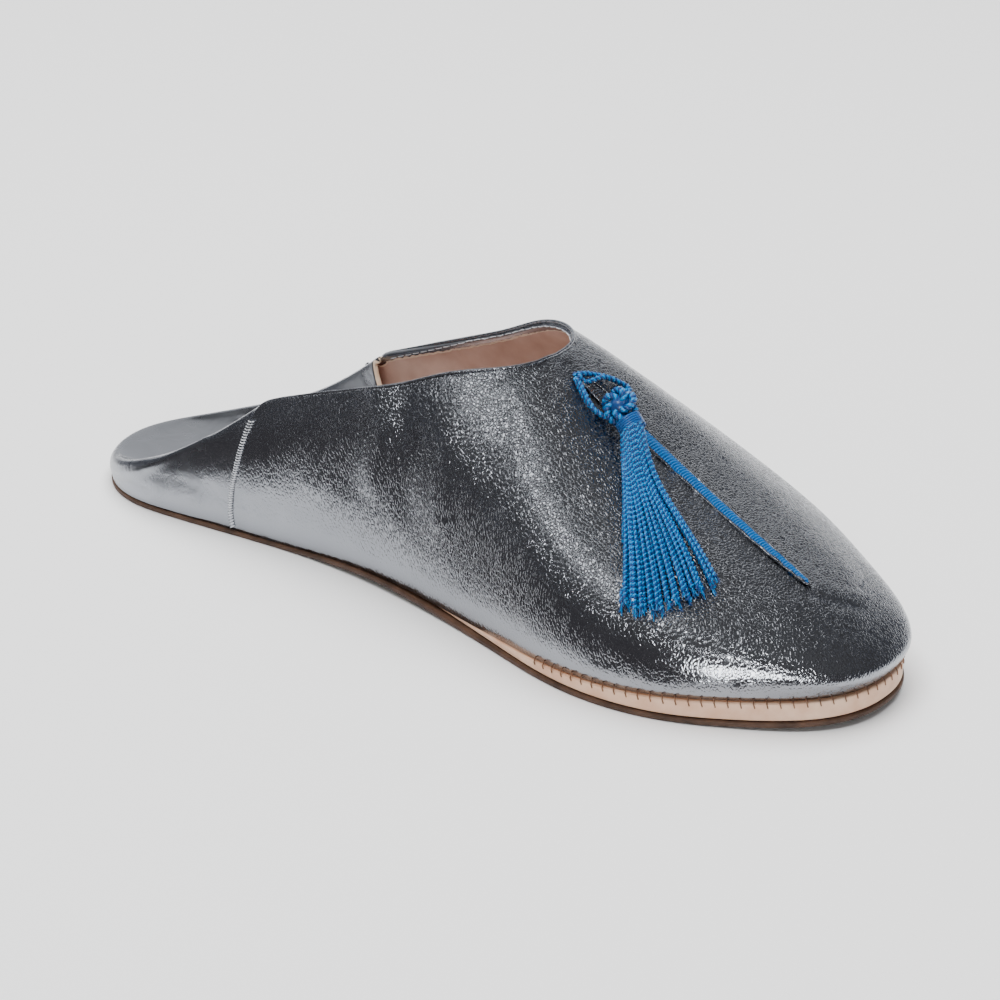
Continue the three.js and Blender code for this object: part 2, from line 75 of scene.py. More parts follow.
rightward, upward, backward = cameraAxes()
cameraPlace = Vector(view["target"]) * mm + backward * view["distance"] * mm
cameraData = bpy.data.cameras.new("photoCamera")
cameraData.angle = math.radians(view["fieldOfView"])
cameraData.clip_start = 0.01
cameraObject = bpy.data.objects.new("photoCamera", cameraData)
turn = np.eye(4)
for column, axis in enumerate((rightward, upward, backward, cameraPlace)):
    turn[:3, column] = axis
cameraObject.matrix_world = Matrix(turn.tolist())
scene.collection.objects.link(cameraObject)
scene.camera = cameraObject
print("camera placed")


def photoRay(x, y):
    half = view["pictureSide"] / 2
    focal = half / math.tan(math.radians(view["fieldOfView"]) / 2)
    return (rightward * (x - half) + upward * (half - y) - backward * focal).normalized()


def linear(hexColour):
    channels = [int(hexColour[i : i + 2], 16) / 255 for i in (1, 3, 5)]
    return (*[c / 12.92 if c <= 0.04045 else ((c + 0.055) / 1.055) ** 2.4 for c in channels], 1.0)


def addNode(tree, kind, settings=None, links=None):
    node = tree.nodes.new("ShaderNode" + kind)
    for name, value in (settings or {}).items():
        if isinstance(name, str) and hasattr(node, name):
            setattr(node, name, value)
        else:
            node.inputs[name].default_value = value
    for name, socket in (links or {}).items():
        tree.links.new(socket, node.inputs[name])
    return node


# A number is set on the socket itself, and another node's output is linked to it
def feed(tree, socket, source):
    if isinstance(source, float):
        socket.default_value = source
    else:
        tree.links.new(source, socket)


def maths(tree, operation, *terms):
    node = addNode(tree, "Math", {"operation": operation})
    for socket, term in zip(node.inputs, terms):
        feed(tree, socket, term)
    return node.outputs["Value"]


def mapped(tree, value, start=0.0, end=1.0, low=0.0, high=1.0):
    settings = {"From Min": start, "From Max": end, "To Min": low, "To Max": high}
    return addNode(tree, "MapRange", settings, {"Value": value}).outputs["Result"]


def noise(tree, place, size, detail, distortion=0.0):
    settings = {"Scale": 1 / (size * mm), "Detail": detail, "Distortion": distortion}
    return addNode(tree, "TexNoise", settings, {"Vector": place}).outputs["Fac"]


# A bump of a depth in millimetres, laid over another one if there is one under it
def relief(tree, height, strength, depth, under=None):
    node = addNode(tree, "Bump", {"Distance": depth * mm}, {"Height": height})
    feed(tree, node.inputs["Strength"], strength)
    if under:
        tree.links.new(under, node.inputs["Normal"])
    return node.outputs["Normal"]


def scaled(tree, place, scale):
    return addNode(tree, "Mapping", {"Scale": scale}, {"Vector": place}).outputs["Vector"]


def attribute(tree, name):
    return addNode(tree, "Attribute", {"attribute_name": name}).outputs["Fac"]


def colourBand(tree, factor, stops):
    ramp = addNode(tree, "ValToRGB", links={"Fac": factor})
    elements = ramp.color_ramp.elements
    while len(elements) < len(stops):
        elements.new(0.5)
    for element, (position, colour) in zip(elements, stops):
        element.position = position
        element.color = colour if isinstance(colour, tuple) else linear(colour)
    return ramp.outputs["Color"]


def newMaterial(name):
    material = bpy.data.materials.new(name)
    material.use_nodes = True
    tree = material.node_tree
    tree.nodes.clear()
    return material, tree, addNode(tree, "TexCoord").outputs["Object"]


def finishMaterial(tree, settings, links):
    shader = addNode(tree, "BsdfPrincipled", settings, links)
    addNode(tree, "OutputMaterial", links={"Surface": shader.outputs["BSDF"]})


# Kid leather under a silver foil: a mirror broken up by fine grain, strongest over the flexed vamp and nearly
# pressed flat round the heel, along the sole and on the folded heel. Each bump has a strength and a depth.
foil = {
    "colour": "#96999F",
    "cell": 0.82,
    "cellEdge": 0.3,
    "cellBump": (0.8, 0.14),
    "drift": 2.2,
    "warp": 0.7,
    "stretch": (1.0, 1.0, 0.55),
    "wave": 9.0,
    "waveTwist": 0.5,
    "waveBump": (0.3, 1.1),
    "grit": 0.33,
    "gritBump": (0.16, 0.08),
    "heelEnd": -80.0,
    "vampStart": -25.0,
    "heelGrain": 0.25,
    "foldGrain": 0.1,
    "lowFlat": 8.0,
    "lowEnd": 24.0,
    "roughness": (0.13, 0.22),
    "pressedDull": 0.12,
}


def silverFoil(name, strength=1.0):
    material, tree, place = newMaterial(name)
    along, _, height = addNode(tree, "SeparateXYZ", links={"Vector": place}).outputs
    least = foil["heelGrain"]
    fromHeel = mapped(tree, along, foil["heelEnd"] * mm, foil["vampStart"] * mm, least)
    fromSole = mapped(tree, height, foil["lowFlat"] * mm, foil["lowEnd"] * mm, least)
    unfolded = mapped(tree, attribute(tree, "foldedHeel"), low=1.0, high=foil["foldGrain"])
    outside = maths(tree, "MULTIPLY", fromHeel, unfolded)
    flexed = maths(tree, "MULTIPLY", outside, fromSole)
    stretched = scaled(tree, place, foil["stretch"])
    drift = addNode(
        tree, "TexNoise", {"Scale": 1 / (foil["drift"] * mm), "Detail": 2.0}, {"Vector": stretched}
    )
    warp = (foil["warp"] * mm,) * 3
    bent = addNode(
        tree, "VectorMath", {"operation": "MULTIPLY_ADD", 1: warp}, {0: drift.outputs["Color"], 2: stretched}
    ).outputs["Vector"]
    scale = 1 / (foil["cell"] * mm)
    cells = addNode(
        tree, "TexVoronoi", {"feature": "DISTANCE_TO_EDGE", "Scale": scale}, {"Vector": bent}
    ).outputs["Distance"]
    pebble = addNode(
        tree, "MapRange", {"interpolation_type": "SMOOTHSTEP", "From Max": foil["cellEdge"]}, {"Value": cells}
    ).outputs["Result"]
    broad = noise(tree, place, foil["wave"], 3.0, foil["waveTwist"])
    bump, depth = foil["waveBump"]
    normal = relief(tree, broad, bump * strength, depth)
    for pattern, (bump, depth) in (
        (pebble, foil["cellBump"]),
        (noise(tree, place, foil["grit"], 3.0), foil["gritBump"]),
    ):
        normal = relief(tree, pattern, maths(tree, "MULTIPLY", flexed, bump * strength), depth, normal)
    smooth, dull = foil["roughness"]
    uneven = mapped(tree, broad, 0.3, 0.7, smooth, dull)
    pressed = mapped(tree, outside, low=foil["pressedDull"], high=0.0)
    finishMaterial(
        tree, {"Metallic": 1.0, "Base Color": linear(foil["colour"])},
        {"Roughness": maths(tree, "ADD", uneven, pressed), "Normal": normal},
    )
    return material


# Plain leather, vegetable tanned: a soft sheen over pores and slow changes of tone
skin = {"sheen": 0.35, "bump": (0.4, 0.15)}


def plainLeather(name, light, dark, roughness, pore, patch):
    material, tree, place = newMaterial(name)
    tone = colourBand(tree, noise(tree, place, patch, 4.0), [(0.32, dark), (0.68, light)])
    pores = relief(tree, noise(tree, place, pore, 3.0), *skin["bump"])
    finishMaterial(
        tree, {"Roughness": roughness, "Specular IOR Level": skin["sheen"]},
        {"Base Color": tone, "Normal": pores},
    )
    return material


# The rand's colour runs from pale bare leather at the toe to dark brown round the heel and waist, as dark as
# the sole's edge
randLook = {
    "bare": ("#D8A98A", "#F0CDB2"),
    "rearDark": ("#4A3228", "#7A5646"),
    "rearDarkEnd": -20.0,
    "bareStart": 30.0,
    "waver": 20.0,
    "patch": 7.0,
    "fibre": 0.5,
    "streaks": (0.3, 0.3, 1.0),
    "roughness": 0.55,
}


def randLeather(name):
    material, tree, place = newMaterial(name)
    along = addNode(tree, "SeparateXYZ", links={"Vector": place}).outputs["X"]
    patches = noise(tree, place, randLook["patch"], 5.0)
    fibres = noise(tree, scaled(tree, place, randLook["streaks"]), randLook["fibre"], 4.0)
    # The dark tone is used behind the waist, so the rand gets darker towards the heel
    rearDark = colourBand(tree, patches, list(zip((0.3, 0.7), randLook["rearDark"])))
    bare = colourBand(tree, patches, list(zip((0.3, 0.7), randLook["bare"])))
    uneven = maths(tree, "MULTIPLY_ADD", patches, randLook["waver"] * mm, along)
    share = mapped(tree, uneven, randLook["rearDarkEnd"] * mm, randLook["bareStart"] * mm)
    tone = addNode(tree, "MixRGB", links={"Fac": share, "Color1": rearDark, "Color2": bare}).outputs["Color"]
    finishMaterial(
        tree, {"Roughness": randLook["roughness"], "Specular IOR Level": skin["sheen"]},
        {"Base Color": tone, "Normal": relief(tree, fibres, *skin["bump"])},
    )
    return material


# Sheepskin lining, matt and fleshy, with the silver turned in along the topline and raw where it ends
liningLook = {
    "skin": ("#C9AC9F", "#E2CABE"),
    "raw": "#F0E0D0",
    "turnIn": 2.6,
    "ragged": 0.7,
    "waver": 2.0,
    "patch": 8.0,
    "nap": 0.5,
    "stepBump": (0.8, 0.5),
    "roughness": (0.24, 0.85),
    "sheen": 0.3,
}


def liningWithTurnIn(name):
    material, tree, place = newMaterial(name)
    black, white = (0, 0, 0, 1), (1, 1, 1, 1)
    waver = noise(tree, place, liningLook["waver"], 2.0)
    depth = maths(tree, "MULTIPLY_ADD", waver, liningLook["ragged"], attribute(tree, "fromTopline"))
    share = mapped(tree, depth, end=2 * liningLook["turnIn"] + liningLook["ragged"])
    patches = noise(tree, place, liningLook["patch"], 5.0)
    skinTone = colourBand(tree, patches, list(zip((0.3, 0.7), liningLook["skin"])))
    isLining = colourBand(tree, share, [(0.5, black), (0.515, white)])
    isEdge = colourBand(tree, share, [(0.5, black), (0.51, white), (0.55, white), (0.57, black)])
    base = addNode(
        tree, "MixRGB", {"Color1": linear(foil["colour"])}, {"Fac": isLining, "Color2": skinTone}
    ).outputs["Color"]
    edged = addNode(
        tree, "MixRGB", {"Color2": linear(liningLook["raw"])}, {"Fac": isEdge, "Color1": base}
    ).outputs["Color"]
    metal = maths(tree, "SUBTRACT", 1.0, isLining)
    silvery, woolly = liningLook["roughness"]
    step = relief(tree, metal, *liningLook["stepBump"])
    nap = relief(tree, noise(tree, place, liningLook["nap"], 4.0), *skin["bump"], step)
    finishMaterial(
        tree, {"Specular IOR Level": liningLook["sheen"]},
        {
            "Base Color": edged, "Metallic": metal, "Normal": nap,
            "Roughness": mapped(tree, isLining, low=silvery, high=woolly),
        },
    )
    return material


# Rayon cord: bright where each ply turns to the light. On the tassel this is a painted highlight: one ply of
# each cord is a lighter painted-highlight blue and the other a darker painted-shade blue
rayonLook = {"fibre": 0.35, "bump": (0.35, 0.08), "sheen": 0.9, "coat": 0.35, "coatRoughness": 0.2}


def rayon(name, light, dark, roughness):
    material, tree, place = newMaterial(name)
    fibres = noise(tree, place, rayonLook["fibre"], 2.0)
    settings = {
        "Roughness": roughness,
        "Specular IOR Level": rayonLook["sheen"],
        "Coat Weight": rayonLook["coat"],
        "Coat Roughness": rayonLook["coatRoughness"],
    }
    tone = colourBand(tree, fibres, [(0.3, dark), (0.7, light)])
    finishMaterial(tree, settings, {"Base Color": tone, "Normal": relief(tree, fibres, *rayonLook["bump"])})
    return material


silver = silverFoil("foilKidLeather")
silverEdge = silverFoil("foilTurnedEdge", 0.6)
lining = liningWithTurnIn("sheepLining")
sock = plainLeather("sheepSock", "#DCC0B3", "#C2A293", 0.8, 0.6, 9.0)
cutEdge = plainLeather("cutLeatherEdge", "#E6D3BC", "#C9AE92", 0.85, 0.4, 3.0)
paleRand = randLeather("vegetableTannedRand")
darkSole = plainLeather("sealedSoleLeather", "#5A4234", "#3A291F", 0.6, 0.5, 6.0)
# The tassel's cord is one blue. These two tones are its painted highlight and its painted shade, and they go
# to the two plies in turn
highlightPlyBlue = rayon("rayonPaintedHighlightPly", "#0C86C6", "#0064A6", 0.2)
shadePlyBlue = rayon("rayonPaintedShadePly", "#00407E", "#00265A", 0.3)
bindingBlue = rayon("rayonBinding", "#00599F", "#00376F", 0.3)
ribBlue = rayon("rayonRib", "#0068AE", "#004682", 0.3)
brownThread = plainLeather("waxedBrownThread", "#8A6148", "#5A3C2A", 0.6, 0.3, 1.0)
greyThread = plainLeather("greyThread", "#E4E6EA", "#B4B7BE", 0.4, 0.3, 1.0)
print("materials made")


def addPiece(name, mesh, materials, slot, *nodes):
    piece = bpy.data.objects.new(name, mesh)
    scene.collection.objects.link(piece)
    for material in materials:
        mesh.materials.append(material)
    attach(piece, "root")
    if nodes:
        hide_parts(*nodes)
    return piece


def smoothShaded(mesh):
    mesh.polygons.foreach_set("use_smooth", [True] * len(mesh.polygons))


# The solids' meshes are welded, and their triangles joined into quads up to these angles in degrees
cleaning = {"weld": 0.02, "bend": 55, "shape": 80}


def mergedCopy(node):
    form = bmesh.new()
    form.from_mesh(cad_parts[node].data)
    bmesh.ops.remove_doubles(form, verts=form.verts, dist=cleaning["weld"] * mm)
    for face in form.faces:
        face.material_index = 0
    form.normal_update()
    return form


def joinQuads(form):
    bmesh.ops.join_triangles(
        form, faces=form.faces, cmp_materials=True,
        angle_face_threshold=math.radians(cleaning["bend"]),
        angle_shape_threshold=math.radians(cleaning["shape"]),
    )


# A copy of a bmesh, subdivided to its limit surface with Blender's own modifier, which is then applied
def subdivided(form, name, levels):
    coarse = bpy.data.meshes.new(name + "Coarse")
    form.to_mesh(coarse)
    form.free()
    holder = bpy.data.objects.new(name + "Holder", coarse)
    scene.collection.objects.link(holder)
    modifier = holder.modifiers.new("surface", "SUBSURF")
    modifier.levels = modifier.render_levels = levels
    mesh = bpy.data.meshes.new_from_object(holder.evaluated_get(bpy.context.evaluated_depsgraph_get()))
    bpy.data.objects.remove(holder)
    smoothShaded(mesh)
    mesh.name = name
    return mesh


def creaseSharp(form, angle, amount):
    crease = form.edges.layers.float.new("crease_edge")
    for edge in form.edges:
        if edge.is_manifold and edge.calc_face_angle() > math.radians(angle):
            edge[crease] = amount


# Sole layers keep their CAD shapes, rounded through their stations
sole = {"levels": 2, "edgeAngle": 25, "edgeCrease": 0.5}
for node, name, material, slot in (
    ("outsole", "soleOuter", darkSole, "outsole_leather"),
    ("rand", "soleRand", paleRand, "rand_leather"),
    ("insole", "soleSock", sock, "insole_leather"),
):
    layer = mergedCopy(node)
    joinQuads(layer)
    creaseSharp(layer, sole["edgeAngle"], sole["edgeCrease"])
    addPiece(name, subdivided(layer, name, sole["levels"]), [material], slot, node)
print("sole built")

# The upper: silver outside, lining inside with the silver turned in along the topline, and raw cut edges
upper = {"levels": 2, "skinAngle": 62, "edgeCrease": 0.85, "topline": 41.5, "toplineMargin": 1.5}
silverSlot, liningSlot, cutSlot, edgeSlot = range(4)


def spread(seed, angle):
    found = {seed}
    waiting = [seed]
    while waiting:
        for edge in waiting.pop().edges:
            if not edge.is_manifold or edge.calc_face_angle() > math.radians(angle):
                continue
            for face in edge.link_faces:
                if face not in found:
                    found.add(face)
                    waiting.append(face)
    return found


hide = mergedCopy("upper")
unsorted = set(hide.faces)
surfaces = []
while unsorted:
    surfaces.append(spread(next(iter(unsorted)), upper["skinAngle"]))
    unsorted -= surfaces[-1]
skins = sorted(surfaces, key=len)[-2:]
outerSkin = max(skins, key=lambda skin: sum(face.calc_area() for face in skin))
toplineHeight = upper["topline"] * mm
outerVerts = {vert for face in outerSkin for vert in face.verts}
for face in hide.faces:
    shared = sum(vert in outerVerts for vert in face.verts)
    if shared == len(face.verts):
        face.material_index = silverSlot
    elif shared == 0:
        face.material_index = liningSlot
    else:
        face.material_index = edgeSlot if face.calc_center_median().z > toplineHeight else cutSlot
print("upper: outside", len(outerSkin), "of", len(hide.faces))
joinQuads(hide)
crease = hide.edges.layers.float.new("crease_edge")
for edge in hide.edges:
    isRim = {face.material_index in (cutSlot, edgeSlot) for face in edge.link_faces}
    if len(isRim) == 2:
        edge[crease] = upper["edgeCrease"]
leatherMesh = subdivided(hide, "leatherUpper", upper["levels"])


def meshPoints(mesh):
    flat = np.empty(len(mesh.vertices) * 3)
    mesh.vertices.foreach_get("co", flat)
    return flat.reshape(-1, 3)


# The outline between two kinds of face, as ordered loops of points
def outlines(mesh, one, other):
    kinds = {}
    for polygon in mesh.polygons:
        for key in polygon.edge_keys:
            kinds.setdefault(key, []).append(polygon.material_index)
    links = {}
    for (a, b), found in kinds.items():
        if len(found) != 2:
            continue
        if (found[0] in one and found[1] in other) or (found[1] in one and found[0] in other):
            links.setdefault(a, []).append(b)
            links.setdefault(b, []).append(a)
    lines = []
    unused = set(links)
    while unused:
        ends = [v for v in unused if len(links[v]) == 1]
        here = ends[0] if ends else next(iter(unused))
        line = [here]
        unused.discard(here)
        while True:
            onward = [v for v in links[here] if v in unused]
            if not onward:
                break
            here = onward[0]
            unused.discard(here)
            line.append(here)
        lines.append([mesh.vertices[v].co.copy() for v in line])
    return lines


def surfaceTree(mesh):
    return BVHTree.FromPolygons([v.co for v in mesh.vertices], [p.vertices[:] for p in mesh.polygons])


# Soft waves and creases, each along a line of the photo's pixels: width and depth in millimetres
creases = [
    {"line": ((557, 352), (566, 366), (575, 379)), "width": 1.3, "depth": -0.7},
    {"line": ((549, 362), (560, 376), (572, 392)), "width": 2.2, "depth": 0.5},
    {"line": ((815, 594), (834, 601), (858, 605)), "width": 1.2, "depth": -0.4},
    {"line": ((812, 603), (832, 612), (858, 616)), "width": 2.0, "depth": 0.22},
    {"line": ((820, 584), (842, 592), (866, 596)), "width": 2.0, "depth": 0.2},
    {"line": ((376, 392), (380, 430), (372, 480)), "width": 4.5, "depth": 1.0},
    {"line": ((352, 398), (354, 440), (348, 480)), "width": 4.0, "depth": -0.7},
    {"line": ((404, 390), (408, 440), (404, 500)), "width": 4.5, "depth": -0.9},
    {"line": ((452, 382), (448, 440), (440, 520)), "width": 5.0, "depth": 0.9},
    {"line": ((500, 380), (496, 430), (492, 500)), "width": 6.0, "depth": -0.7},
    {"line": ((300, 402), (304, 440), (310, 480)), "width": 6.0, "depth": 0.6},
    {"line": ((118, 472), (132, 481), (148, 488)), "width": 1.4, "depth": -0.4},
    {"line": ((134, 473), (165, 459), (205, 439), (240, 418), (262, 403)), "width": 1.3, "depth": 0.55},
    {"line": ((190, 450), (196, 480), (214, 506)), "width": 6.0, "depth": -0.3},
    {"line": ((650, 372), (690, 400), (722, 440)), "width": 6.0, "depth": -0.5},
]
notSilver = (liningSlot, cutSlot, edgeSlot)
featherLine = min(outlines(leatherMesh, (silverSlot,), notSilver), key=lambda line: max(p.z for p in line))
soleTree = surfaceTree(bpy.data.objects["soleOuter"].data)


def eased(share):
    return share * share * (3 - 2 * share)


# Round the heel and waist the leather is lasted down over the rand, which shows only towards the toe. Each
# margin is a place on the feather line, the way out there, how far out and down the sole's edge lies, and how
# much of that the leather takes.
lasting = {
    "whole": -50,
    "none": 62,
    "height": 13,
    "inset": 0.3,
    "clearance": 0.2,
    "wall": 2.6,
    "castOut": 20,
    "castDown": 0.5,
}
down = Vector((0, 0, -1))
margins = []
following = featherLine[1:] + featherLine[:1]
for before, point, after in zip(featherLine[-1:] + featherLine, featherLine, following):
    out = down.cross(after - before).normalized()
    if out.dot(Vector((point.x, point.y, 0))) < 0:
        out = -out
    under = soleTree.ray_cast(point, down)[0]
    outside = under + down * (lasting["castDown"] * mm) + out * lasting["castOut"] * mm
    edge = soleTree.ray_cast(outside, -out)[0]
    share = min(1, max(0, (lasting["none"] * mm - point.x) / ((lasting["none"] - lasting["whole"]) * mm)))
    reach = (edge - point).dot(out) - lasting["inset"] * mm
    drop = point.z - under.z - lasting["clearance"] * mm
    margins.append((*point, *out, reach, drop, eased(share)))
margins = np.array(margins)


def nearestMargin(points):
    found = []
    for part in np.array_split(points, 1 + len(points) // 2000):
        apart = np.linalg.norm(part[:, None, :2] - margins[None, :, :2], axis=2)
        found.append(margins[apart.argmin(axis=1)])
    rows = np.concatenate(found)
    return rows[:, :3], rows[:, 3:6], rows[:, 6], rows[:, 7], rows[:, 8]


plainTree = surfaceTree(leatherMesh)
hidePoints = meshPoints(leatherMesh)
moved = hidePoints.copy()
foot, out, reach, drop, share = nearestMargin(hidePoints)
lowness = (lasting["height"] * mm - hidePoints[:, 2]) / (lasting["height"] * mm - foot[:, 2])
lowness = eased(np.clip(lowness, 0, 1)) * share
moved += out * (reach * lowness)[:, None]
moved[:, 2] -= drop * lowness
randMesh = bpy.data.objects["soleRand"].data
randPoints = meshPoints(randMesh)
foot, out, reach, _, share = nearestMargin(randPoints)
outby = ((randPoints - foot) * out).sum(axis=1)
limit = reach - (lasting["wall"] + lasting["clearance"]) * mm
pull = np.maximum(outby - limit, 0) * share
randMesh.vertices.foreach_set("co", (randPoints - out * pull[:, None]).ravel())
randMesh.update()
for fold in creases:
    casts = [plainTree.ray_cast(cameraPlace, photoRay(x, y))[:2] for x, y in fold["line"]]
    casts = [cast for cast in casts if cast[0]]
    outward = np.mean([np.array(normal) for _, normal in casts], axis=0)
    outward /= np.linalg.norm(outward)
    nearest = np.full(len(hidePoints), 1e9)
    for (start, _), (end, _) in zip(casts, casts[1:]):
        start, span = np.array(start), np.array(end - start)
        share = np.clip((hidePoints - start) @ span / (span @ span), 0, 1)
        nearest = np.minimum(nearest, np.linalg.norm(hidePoints - start - share[:, None] * span, axis=1))
    moved += outward * (fold["depth"] * mm * np.exp(-((nearest / (fold["width"] * mm)) ** 2)))[:, None]
leatherMesh.vertices.foreach_set("co", moved.ravel())
leatherMesh.update()

edgeLines = outlines(leatherMesh, (silverSlot,), notSilver)
featherLine = min(edgeLines, key=lambda line: max(p.z for p in line))
opening = max((line for line in edgeLines if line is not featherLine), key=len)
lowest = min(range(len(opening)), key=lambda i: opening[i].z)
opening = opening[lowest:] + opening[:lowest]
topline = [point for point in opening if point.z > toplineHeight - upper["toplineMargin"] * mm]
hidePoints = meshPoints(leatherMesh)
fromTopline = np.full(len(hidePoints), 1e9)
for point in topline:
    fromTopline = np.minimum(fromTopline, np.linalg.norm(hidePoints - np.array(point), axis=1))
depthLayer = leatherMesh.attributes.new("fromTopline", "FLOAT", "POINT")
depthLayer.data.foreach_set("value", fromTopline / mm)

# The folded heel is the silver that has a wall outside it, behind the fold's front
leatherTree = surfaceTree(leatherMesh)
heelFold = {"front": -5, "lift": 0.3}
folded = []
for vertex in leatherMesh.vertices:
    start = vertex.co + vertex.normal * heelFold["lift"] * mm
    walled = leatherTree.ray_cast(start, Vector((0, math.copysign(1, start.y), 0)))[0]
    folded.append(1.0 if walled and start.x < heelFold["front"] * mm else 0.0)
leatherMesh.attributes.new("foldedHeel", "FLOAT", "POINT").data.foreach_set("value", folded)
addPiece("leatherUpper", leatherMesh, [silver, lining, cutEdge, silverEdge], "upper_leather", "upper")
print("upper built", len(leatherMesh.polygons))


# The point of the leather that the photo shows at x, y
def onLeather(x, y):
    place, normal, _, _ = leatherTree.ray_cast(cameraPlace, photoRay(x, y))
    return place, normal


def smoothLine(points, count):
    points = [Vector(p) for p in points]
    padded = [2 * points[0] - points[1], *points, 2 * points[-1] - points[-2]]
    line = []
    for i in range(count):
        share = i / (count - 1) * (len(points) - 1)
        k = min(int(share), len(points) - 2)
        t = share - k
        a, b, c, d = padded[k : k + 4]
        slope = (c - a) * t
        bend = (2 * a - 5 * b + 4 * c - d) * t * t
        twist = (3 * b - a - 3 * c + d) * t**3
        line.append(0.5 * (2 * b + slope + bend + twist))
    return line


def spacedLine(points, spacing):
    length = sum((b - a).length for a, b in zip(points, points[1:]))
    fine = smoothLine(points, max(8, int(4 * length / spacing)))
    line = [fine[0]]
    for point in fine[1:]:
        if (point - line[-1]).length >= spacing:
            line.append(point)
    return line


# Collects cords as splines of one curve
class CordMaker:
    def __init__(self, name, radius, materials, resolution=1):
        self.curve = bpy.data.curves.new(name, "CURVE")
        for material in materials:
            self.curve.materials.append(material)
        self.curve.dimensions = "3D"
        self.curve.bevel_depth = radius
        self.curve.bevel_resolution = resolution
        self.curve.use_fill_caps = True

    def line(self, points, thickness=None, finish=0):
        spline = self.curve.splines.new("POLY")
        spline.material_index = finish
        spline.points.add(len(points) - 1)
        for i, (target, point) in enumerate(zip(spline.points, points)):
            target.co = (*point, 1)
            target.radius = thickness(i / (len(points) - 1)) if thickness else 1

    # Two plies wound round a route, which open out over its last stretch where it frays
    def twisted(self, route, offset, pitch, spacing, start=0.0, fray=0.0):
        points = spacedLine(route, spacing)
        side = (points[1] - points[0]).normalized().orthogonal().normalized()
        strands = ([], [])
        frayStart = 0.94
        travelled = 0.0
        for i, point in enumerate(points):
            along = (points[min(i + 1, len(points) - 1)] - points[max(i - 1, 0)]).normalized()
            side = (side - along * side.dot(along)).normalized()
            other = along.cross(side)
            if i:
                travelled += (point - points[i - 1]).length
            loose = max(0.0, (i / (len(points) - 1) - frayStart) / (1 - frayStart))
            for ply, strand in enumerate(strands):
                angle = start + 2 * math.pi * (travelled / pitch + ply / len(strands))
                out = side * math.cos(angle) + other * math.sin(angle)
                strand.append(point + out * offset * (1 + fray * loose**2))
        # The first ply takes the first finish and the second ply the second. On the tassel these are the
        # painted highlight and the painted shade of one blue
        for ply, strand in enumerate(strands):
            self.line(strand, finish=ply)

    def mesh(self, name):
        holder = bpy.data.objects.new(name + "Curve", self.curve)
        scene.collection.objects.link(holder)
        made = bpy.data.meshes.new_from_object(holder.evaluated_get(bpy.context.evaluated_depsgraph_get()))
        bpy.data.objects.remove(holder)
        smoothShaded(made)
        made.name = name
        return made


# The tassel: a loop from the slit's top, a knot, a binding round the neck and a skirt of twisted strands
tassel = {
    "knot": (46.09, -4.65, 60.99),
    "neckEnd": (52.17, -7.03, 56.47),
    "knotPixel": (619, 406),
    "strands": 26,
    "ply": 0.38,
    "plyOffset": 0.92,
    "pitch": 1.5,
    "spacing": 0.42,
    "fray": 0.6,
    "anyTurn": 6.28,
    "seed": 7,
}
chance = random.Random(tassel["seed"])
knotPlace = Vector(tassel["knot"]) * mm
neckEnd = Vector(tassel["neckEnd"]) * mm
knotAxis = (neckEnd - knotPlace).normalized()
_, knotOut = onLeather(*tassel["knotPixel"])
knotAside = knotOut.cross(knotAxis).normalized()
knotUp = knotAxis.cross(knotAside)

# The strands start round the neck and fan out in two layers to ends at these pixels of the photo. Each sinks
# to its layer's height over the vamp by a share of its length, and none comes nearer than least.
fan = {
    "layers": (0.85, 2.0),
    "jitter": 0.35,
    "ends": ((624, 606), (640, 613), (664, 608), (690, 599), (716, 586)),
    "scatterX": (-2, 2),
    "scatterY": (-4, 3),
    "shorter": 2,
    "arcStart": 0.1,
    "arc": 0.8,
    "neckBack": 1.0,
    "neckWide": 2.9,
    "neckHigh": 1.3,
    "layerHigher": 1.2,
    "underside": -0.6,
    "steps": 16,
    "sunkBy": 0.45,
    "sinkPower": 0.7,
    "least": 0.75,
    "lifted": 0.85,
}


def above(point, height):
    place, normal, _, _ = leatherTree.find_nearest(point)
    return place + normal * height, (point - place).dot(normal)


def skirtEnd(share):
    ends = fan["ends"]
    span = share * (len(ends) - 1)
    k = min(int(span), len(ends) - 2)
    x, y = (a + (b - a) * (span - k) for a, b in zip(ends[k], ends[k + 1]))
    return x, y


def strandStart(share, layer):
    around = math.pi * (fan["arcStart"] + fan["arc"] * share)
    ring = fan["neckHigh"] + fan["layerHigher"] * layer
    place = neckEnd - knotAxis * fan["neckBack"] * mm - knotAside * math.cos(around) * fan["neckWide"] * mm
    return place + knotUp * (math.sin(around) * ring * (1 if layer else fan["underside"])) * mm


def strandRoute(start, end, height):
    route = []
    for k in range(fan["steps"] + 1):
        t = k / fan["steps"]
        flat = start.lerp(end, t)
        onSkin, _ = above(flat, height)
        point = flat.lerp(onSkin, eased(min(1, t / fan["sunkBy"]) ** fan["sinkPower"]))
        if above(point, height)[1] < fan["least"] * mm:
            point, _ = above(point, fan["lifted"] * mm)
        route.append(point)
    return route


skirt = CordMaker("tasselStrands", tassel["ply"] * mm, [highlightPlyBlue, shadePlyBlue])
plyOffset = tassel["ply"] * tassel["plyOffset"] * mm
strandEnds = []
for i in range(tassel["strands"]):
    layer = i % len(fan["layers"])
    jitter = chance.uniform(-fan["jitter"], fan["jitter"])
    share = min(1, max(0, (i + jitter) / (tassel["strands"] - 1)))
    x, y = skirtEnd(share)
    x += chance.uniform(*fan["scatterX"])
    y += chance.uniform(*fan["scatterY"]) - fan["shorter"] * layer
    route = strandRoute(strandStart(share, layer), onLeather(x, y)[0], fan["layers"][layer] * mm)
    strandEnds.append((route[-1], (route[-1] - route[-2]).normalized()))
    turned = chance.uniform(0, tassel["anyTurn"])
    skirt.twisted(route, plyOffset, tassel["pitch"] * mm, tassel["spacing"] * mm, turned, tassel["fray"])
addPiece("tasselStrands", skirt.mesh("tasselStrands"), [], "tassel_cord", "tassel_skirt")

